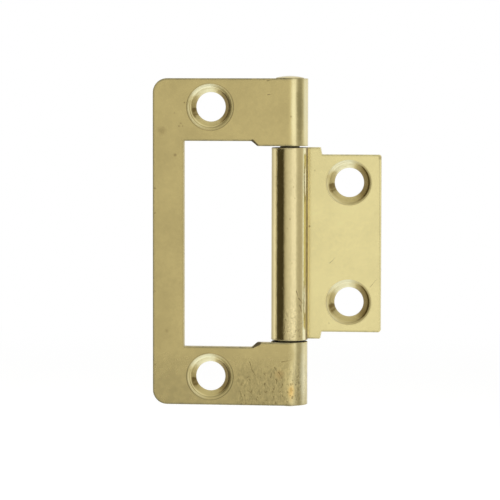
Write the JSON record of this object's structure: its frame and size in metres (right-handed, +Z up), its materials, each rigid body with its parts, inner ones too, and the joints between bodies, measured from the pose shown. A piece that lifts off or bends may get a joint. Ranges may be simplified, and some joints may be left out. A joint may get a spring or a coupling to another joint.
{
  "type": "flush hinge",
  "caption": "Small flush hinge with rolled knuckles on one pin: the inner leaf folds into the window of the outer leaf.",
  "frame": {"origin": "on the outer leaf's back face, midway between its two screw holes, where the hinge is fixed to a frame", "axes": "+Z up along the pin; +Y out of the outer leaf's back face into the frame it is screwed to; the outer leaf reaches towards -X and the inner leaf, open flat, towards +X"},
  "size_m": [0.0346, 0.0056, 0.0508],
  "materials": {
    "outer_brass": "satin",
    "inner_brass": "satin",
    "pin_brass": "satin"
  },
  "bodies": {
    "frame_side": {"outer_leaf": "outer_brass", "hinge_pin": "pin_brass"},
    "door_side": {"inner_leaf": "inner_brass"}
  },
  "joints": [
    {"name": "leaf_swing", "type": "hinge", "parent": "frame_side", "child": "door_side", "pos_m": [0.01195, 0.00155, 0], "axis": [0, 0, 1], "continuous": true}
  ]
}
